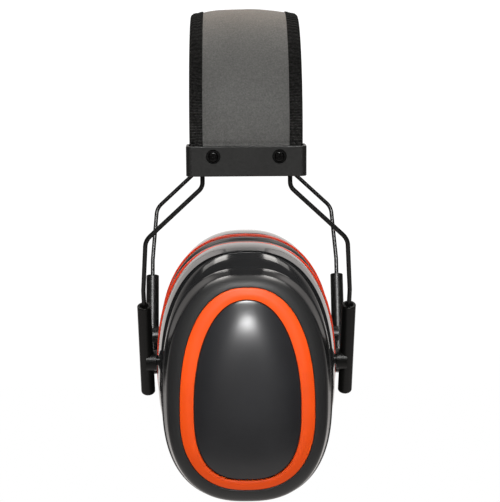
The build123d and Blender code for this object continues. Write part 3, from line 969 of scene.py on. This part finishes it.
def front_cap(side):
    """The stepped cap: seam neck, first wall, ledge, second wall, brow, face and inlay floor."""
    cap, start, end = cup_sizes("cup_front_cap")
    ring, floor_at, _ = cup_sizes("face_ring")
    seam = start + SEAM_WIDTH
    brow = inset(cap, start, CAP_BROW, CAP_SHAPE)
    face_edge = level(ring, end, RING_SHAPE, -INLAY_GAP)
    outside = rounded_path([
        level(cap, start + INNER_START, CAP_SHAPE, WALL),
        level(cap, start, CAP_SHAPE, WALL),
        level(cap, start, CAP_SHAPE, SEAM_DEPTH),
        level(cap, seam, CAP_SHAPE, SEAM_DEPTH),
        level(cap, seam, CAP_SHAPE),
        inset(cap, start, CAP_SHOULDER, CAP_SHAPE),
        inset(cap, start, CAP_LEDGE, CAP_SHAPE),
        inset(cap, start, CAP_UNDER_LEDGE, CAP_SHAPE),
        brow,
    ], [0.2, 0.2, 0.2, 0.18, 3.0, 0.5, 0.8])
    outside += brow_levels(brow, face_edge)
    outside += rounded_path([
        face_edge,
        level(ring, floor_at, RING_SHAPE, -INLAY_GAP),
        level(ring, floor_at, RING_SHAPE, INLAY_WIDTH),
    ], [0.1])[1:]
    inside = [
        level(cap, start + INNER_START, CAP_SHAPE, WALL),
        inset(cap, start, CAP_LEDGE, CAP_SHAPE, WALL),
        inset(cap, start - 0.4, CAP_BROW, CAP_SHAPE, WALL),
        inset(cap, start + 1.0, CAP_BROW, CAP_SHAPE, 2 * WALL),
        level(ring, floor_at - INLAY_FLOOR_THICKNESS, RING_SHAPE, INLAY_WIDTH),
    ]
    made = cup_piece("cap", side, densify(outside), pole_end=True)
    join(made, cup_piece("cap_inside", side, densify(inside, 4.0), pole_end=True))
    return finish_with(made, "cup_gloss")


def join(made, other):
    """Joins another object into made and welds them where they meet."""
    edit = bmesh.new()
    edit.from_mesh(made.data)
    edit.from_mesh(other.data)
    bmesh.ops.remove_doubles(edit, verts=edit.verts, dist=WELD_DISTANCE * MM)
    bmesh.ops.recalc_face_normals(edit, faces=edit.faces)
    edit.to_mesh(made.data)
    edit.free()
    bpy.data.objects.remove(other)
    made.data.polygons.foreach_set("use_smooth", [True] * len(made.data.polygons))


def closed_piece(name, side, levels, radii, material, longest=1.2):
    """A ring-shaped piece of a cup, lofted through levels that lead back to the first one."""
    path = densify(rounded_path([*levels, levels[0]], radii), longest)
    return finish_with(cup_piece(name, side, path[:-1], close=True), material)


def rear_shell(side):
    """The band of shell between the plate and the seam, fullest in its middle."""
    shell, start, end = cup_sizes("cup_rear_shell")
    start += MATING_GAP
    return closed_piece("shell", side, [
        inset(shell, start, SHELL_MIDDLE, SHELL_SHAPE, WALL),
        inset(shell, start, SHELL_BACK, SHELL_SHAPE, WALL),
        inset(shell, start, SHELL_BACK, SHELL_SHAPE),
        inset(shell, start, SHELL_MIDDLE, SHELL_SHAPE),
        inset(shell, end, SHELL_FRONT, SHELL_SHAPE),
        inset(shell, end - SEAM_UNDERCUT, SHELL_FRONT, SHELL_SHAPE, SEAM_DEPTH),
        inset(shell, end, SHELL_FRONT, SHELL_SHAPE, SEAM_DEPTH + SEAM_LIP),
        inset(shell, end, SHELL_FRONT, SHELL_SHAPE, WALL),
    ], [0.3, 0.5, 4.0, 0.2, 0.2, 0.1, 0.3], "cup_gloss")


def face_ring(side):
    """The coloured ring, slightly crowned, with soft edges."""
    ring, low, high = cup_sizes("face_ring")
    dome = cup_sizes("face_dome")[0]
    low += MATING_GAP
    middle_widest = (RING_SHAPE[0] + DOME_SHAPE[0]) / 2
    return closed_piece("ring", side, [
        level(ring, low, RING_SHAPE, 0.5),
        level(ring, low, RING_SHAPE),
        level(ring, high - RING_EDGE_DROP, RING_SHAPE),
        level((ring + dome) / 2, high + RING_CROWN, (middle_widest, *RING_SHAPE[1:])),
        level(dome, high - 0.1, DOME_SHAPE, -RING_INNER_GAP),
        level(dome, low, DOME_SHAPE, -RING_INNER_GAP),
    ], [0.15, 0.5, 3.0, 0.4, 0.15], "ring_orange")


def face_dome(side):
    """The raised cover inside the ring: a smooth dome with a small step at its edge."""
    dome, low, high = cup_sizes("face_dome")
    low += MATING_GAP
    high += DOME_PROUD
    base = high - DOME_RISE
    lip = base + DOME_LIP_HEIGHT
    middle_below = (dome[2] - dome[1]) / 2
    rim = level(dome, lip, DOME_SHAPE, DOME_LIP_WIDTH)
    path = rounded_path([
        level(dome, low, DOME_SHAPE, 3.0),
        level(dome, low, DOME_SHAPE),
        level(dome, base, DOME_SHAPE),
        rim,
    ], [0.1, 0.35])
    centre = np.array([0, -middle_below, middle_below, middle_below, base, 2.0, 2.0])
    for share in np.linspace(0.04, 0.98, 30):
        row = rim * (1 - share) + centre * share
        row[DISTANCE] = lip + (high - lip) * (1 - (1 - share) ** DOME_FULLNESS)
        path.append(row)
    made = cup_piece("dome", side, densify(path), pole_start=True, pole_end=True)
    return finish_with(made, "dome_gloss")


def cushion_plate(side):
    """The coloured plate between cushion and shell, with rounded edges."""
    plate, low, high = cup_sizes("cushion_plate")
    opening = EAR_OPENING + PLATE_LIP
    return closed_piece("plate", side, [
        level(opening, (low + high) / 2, PLATE_SHAPE),
        level(opening, low, PLATE_SHAPE),
        level(plate, low, PLATE_SHAPE, 0.4),
        level(plate, high, PLATE_SHAPE, 0.25),
        level(opening, high, PLATE_SHAPE),
    ], [0.5, 1.0, 1.0, 0.5], "plate_orange", longest=3.0)


def ear_cushion(side):
    """The soft ring: flat on its plate, round towards the head, with a welded seam near its root."""
    cushion, low, high = cup_sizes("cushion_cover")
    middle = (cushion + EAR_OPENING) / 2
    half = (cushion - EAR_OPENING) / 2
    depth = (high - low) / 2
    path = []
    for angle in np.linspace(0, 2 * math.pi, 96, endpoint=False):
        cosine, sine = math.cos(angle), math.sin(angle)
        power = 2 / (CUSHION_FACE_ROUNDNESS if sine > 0 else CUSHION_BACK_SQUARENESS)
        across = math.copysign(abs(cosine) ** power, cosine)
        along = math.copysign(abs(sine) ** power, sine)
        distance = (low + high) / 2 - depth * along
        from_seam = (distance - high + CUSHION_SEAM_PLACE) / CUSHION_SEAM_WIDTH
        seam = CUSHION_SEAM_DEPTH * math.exp(-from_seam ** 2)
        path.append(level(middle + (half - seam) * across, distance, PLATE_SHAPE))
    made = cup_piece("cushion", side, path, close=True)
    crease(made, side)
    return finish_with(made, "cushion_vinyl")


def crease(made, side):
    """Presses small creases into the cushion, deeper round the ear opening."""
    mesh = made.data
    places = vertex_rows(mesh, "co")
    normals = vertex_rows(mesh, "normal")
    centre = np.array([0, 0, (PIVOT[2] - CUSHION_CENTRE_DROP) * MM])
    across = places - centre
    angle = np.arctan2(across[:, 2], across[:, 0])
    radius = np.hypot(across[:, 0], across[:, 2]) / MM
    swirl = np.column_stack([np.cos(angle) * 5, np.sin(angle) * 5, radius * 0.06])
    pattern = smooth_noise(swirl, 1.0, 31.0 + side)
    slow = smooth_noise(places / MM, 0.05, 41.0 + side)
    inner = np.clip(1 - (radius - 20) / 18, 0.15, 1)
    depth = (-np.abs(pattern) * CREASE_DEPTH * inner + slow * CREASE_SWELL) * MM
    depth = np.minimum(depth, 0.0)
    mesh.vertices.foreach_set("co", (places + normals * depth[:, None]).ravel())
    mesh.update()


def cup_pieces():
    """Everything that swings with each cup."""
    for name, side in SIDES:
        body = f"{name}_cup"
        stand_for(front_cap(side), f"{name}_cup_front_cap", body)
        stand_for(rear_shell(side), f"{name}_cup_rear_shell", body)
        stand_for(face_ring(side), f"{name}_face_ring", body)
        stand_for(face_dome(side), f"{name}_face_dome", body)
        stand_for(cushion_plate(side), f"{name}_cushion_plate", body)
        cushion = ear_cushion(side)
        stand_for(cushion, f"{name}_cushion_cover", body)
        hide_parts(f"{name}_cushion_foam")
        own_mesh(cushion)


# ================================================================ CAD pieces that stay
def carried_over():
    """Materials of the CAD pieces that show as they are."""
    finishes = {
        "bracket_outer_half": "bracket_satin",
        "bracket_inner_half": "bracket_satin",
        "bracket_screws": "screw_metal",
        "slider_front": "slider_satin",
        "slider_rear": "slider_satin",
        "absorber_foam": "foam",
    }
    for name, _ in SIDES:
        for node, material in finishes.items():
            finish_with(frame["nodes"][f"{name}_{node}"], material)


# ================================================================ surroundings
def surroundings():
    """White for the camera; for the object, white behind and below, dim in front and dark overhead."""
    world = bpy.data.worlds.new("studio")
    bpy.context.scene.world = world
    world.use_nodes = True
    made = Nodes(world.node_tree)
    direction = made.coordinates("Generated")
    across, along, up = (made.part(direction, axis) for axis in "XYZ")
    strength = made.map_range(along, WORLD_FRONT_EDGE, WORLD_BACK_EDGE, WORLD_FRONT, WORLD_BACK)
    for share in (
        made.map_range(up, WORLD_BELOW_START, 0.0, WORLD_BELOW, 1.0),
        made.map_range(up, *WORLD_TOP_EDGES, 1.0, WORLD_TOP),
        made.map_range(made.maths("ABSOLUTE", across), *WORLD_SIDE_EDGES, 1.0, WORLD_SIDE),
    ):
        strength = made.maths("MULTIPLY", strength, share)
    below = made.map_range(up, *WORLD_FLOOR_EDGES, WORLD_FLOOR, 0.0)
    seen = made.add("ShaderNodeLightPath").outputs["Is Camera Ray"]
    strength = made.maths("MAXIMUM", made.maths("MAXIMUM", strength, below), seen)
    tint = made.add("ShaderNodeMix", data_type="RGBA")
    tint.inputs[MIX_FIRST].default_value = (*SURROUNDING_TINT, 1)
    tint.inputs[MIX_SECOND].default_value = (*PURE_WHITE, 1)
    made.link(seen, tint.inputs["Factor"])
    background = made.tree.nodes["Background"]
    made.link(strength, background.inputs["Strength"])
    made.link(tint.outputs[MIX_RESULT], background.inputs["Color"])


def pale_floor():
    """A plain white floor well below the object. The camera alone sees it: its light is the world's."""
    half = FLOOR_HALF
    corners = [(-half, -half, FLOOR_HEIGHT), (half, -half, FLOOR_HEIGHT),
               (half, half, FLOOR_HEIGHT), (-half, half, FLOOR_HEIGHT)]
    made = new_object("floor", corners, [(0, 1, 2, 3)], smooth=False)
    white = bpy.data.materials.new("white_floor")
    white.use_nodes = True
    nodes = Nodes(white.node_tree)
    glow = nodes.add("ShaderNodeEmission").outputs["Emission"]
    nodes.link(glow, nodes.tree.nodes["Material Output"].inputs["Surface"])
    made.data.materials.append(white)
    made.visible_diffuse = False
    made.visible_glossy = False
    made.visible_shadow = False


def area_light(name, place, target, size, power, color):
    light = bpy.data.lights.new(name, "AREA")
    light.shape = "RECTANGLE"
    light.size, light.size_y = size
    light.energy = power
    light.color = color
    made = bpy.data.objects.new(name, light)
    bpy.context.scene.collection.objects.link(made)
    direction = Vector(target) - Vector(place)
    made.matrix_world = Matrix.Translation(place) @ direction.to_track_quat("-Z", "Y").to_matrix().to_4x4()
    return made


def lights():
    """Bright strips overhead with a dark gap between them, a narrow key light in front, and three
    lights that only some pieces receive."""
    for start, end, brightness in OVERHEAD_STRIPS:
        front, rear = OVERHEAD_REACH
        size = (end - start, rear - front)
        power = brightness * math.pi * size[0] * size[1]
        for sign in (-1, 1):
            place = (sign * (start + end) / 2, (front + rear) / 2, OVERHEAD_HEIGHT)
            area_light("overhead_strip", place, (place[0], place[1], 0), size, power, STRIP_WHITE)
    for name, place, target, size, power, color, spread, receivers in LAMPS:
        made = area_light(name, place, target, size, power, color)
        made.data.spread = math.radians(spread)
        if receivers:
            linked = bpy.data.collections.new(f"{name}_receivers")
            for receiver in receivers:
                linked.objects.link(bpy.data.objects[receiver])
            made.light_linking.receiver_collection = linked


def camera():
    """The viewing angle of the picture."""
    yaw = math.radians(CAMERA_YAW)
    pitch = math.radians(CAMERA_PITCH)
    roll = math.radians(CAMERA_ROLL)
    forward = Vector((math.sin(yaw) * math.cos(pitch), math.cos(yaw) * math.cos(pitch), math.sin(pitch)))
    right = forward.cross(Vector((0, 0, 1))).normalized()
    up = right.cross(forward)
    turned_right = right * math.cos(roll) + up * math.sin(roll)
    turned_up = up * math.cos(roll) - right * math.sin(roll)
    data = bpy.data.cameras.new("camera")
    data.lens = CAMERA_LENS
    data.sensor_width = SENSOR
    data.clip_start = 0.01
    made = bpy.data.objects.new("camera", data)
    bpy.context.scene.collection.objects.link(made)
    rotation = Matrix((turned_right, turned_up, -forward)).transposed().to_4x4()
    made.matrix_world = Matrix.Translation(Vector(CAMERA_PLACE) * MM) @ rotation
    bpy.context.scene.camera = made


headband()
spring_wires()
cup_pieces()
carried_over()
surroundings()
pale_floor()
lights()
camera()
bpy.context.scene.view_settings.view_transform = "Standard"
